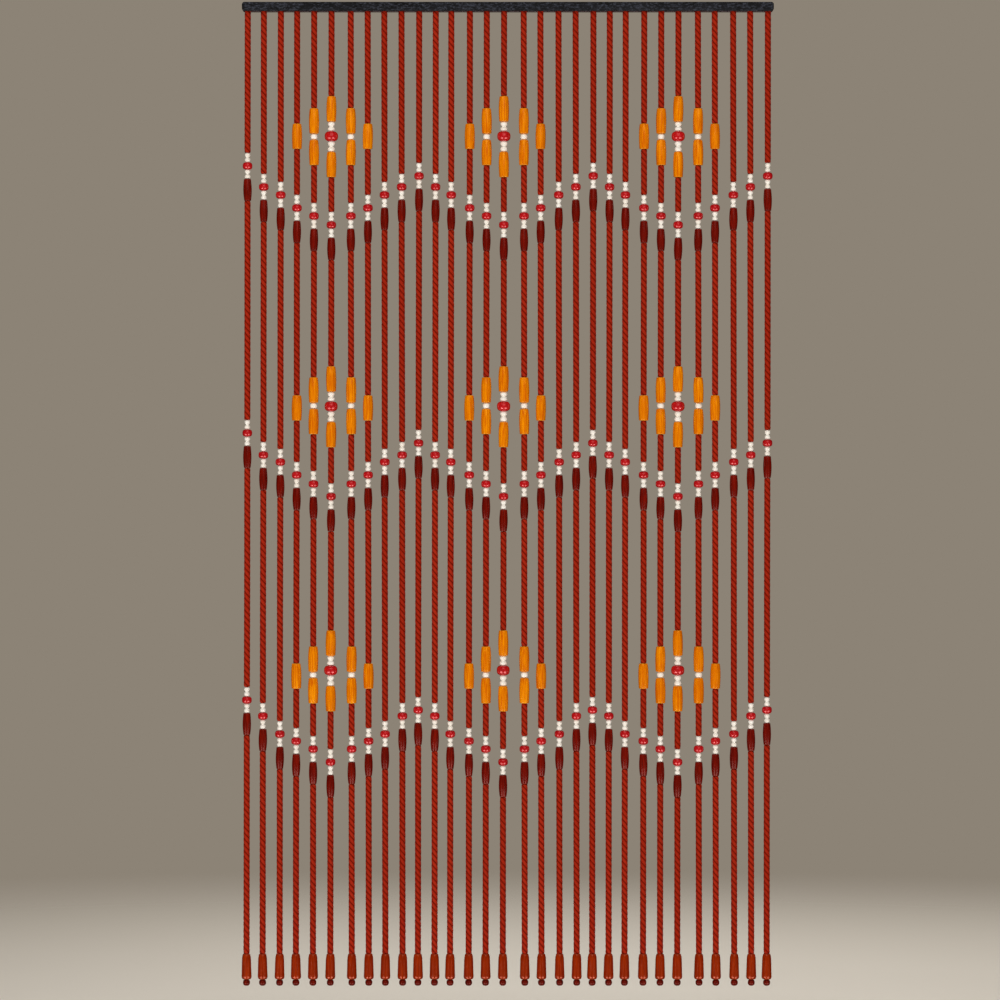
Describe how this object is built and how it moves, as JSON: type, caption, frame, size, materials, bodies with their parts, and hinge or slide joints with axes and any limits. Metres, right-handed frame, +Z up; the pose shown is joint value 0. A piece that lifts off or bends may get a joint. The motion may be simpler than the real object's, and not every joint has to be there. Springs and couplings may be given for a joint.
{
  "type": "bead curtain with rail",
  "caption": "Curtain of red cords threaded with wooden beads in waves and diamonds, each cord ending in a bell-shaped bead, hung side by side from a slim dark rail.",
  "frame": {"origin": "middle of the rail's top face, where it is fixed under a lintel or a ceiling", "axes": "+Z up, +X to the right as seen from the front, front at -Y; the cords hang down along -Z"},
  "size_m": [0.9017, 0.022, 1.666],
  "materials": {
    "rail": "black stained batten with a faint mottled sheen",
    "cord": "red three-ply twisted cord, matt with a soft sheen",
    "bell": "red-brown lacquered wood, satin",
    "white_bead": "off-white lacquer, gloss",
    "red_bead": "red lacquer, gloss",
    "brown_bead": "dark red-brown lacquer, gloss",
    "orange_bead": "orange stain with vertical grain, satin lacquer",
    "end_ball": "dark red-brown lacquer, gloss"
  },
  "bodies": {
    "root": {"rail": "rail", "strings_left": "cord", "strings_middle": "cord", "strings_right": "cord", "bell_01": "bell", "bell_02": "bell", "bell_03": "bell", "bell_04": "bell", "bell_05": "bell", "bell_06": "bell", "bell_07": "bell", "bell_08": "bell", "bell_09": "bell", "bell_10": "bell", "bell_11": "bell", "bell_12": "bell", "bell_13": "bell", "bell_14": "bell", "bell_15": "bell", "bell_16": "bell", "bell_17": "bell", "bell_18": "bell", "bell_19": "bell", "bell_20": "bell", "bell_21": "bell", "bell_22": "bell", "bell_23": "bell", "bell_24": "bell", "bell_25": "bell", "bell_26": "bell", "bell_27": "bell", "bell_28": "bell", "bell_29": "bell", "bell_30": "bell", "bell_31": "bell"}
  },
  "joints": []
}
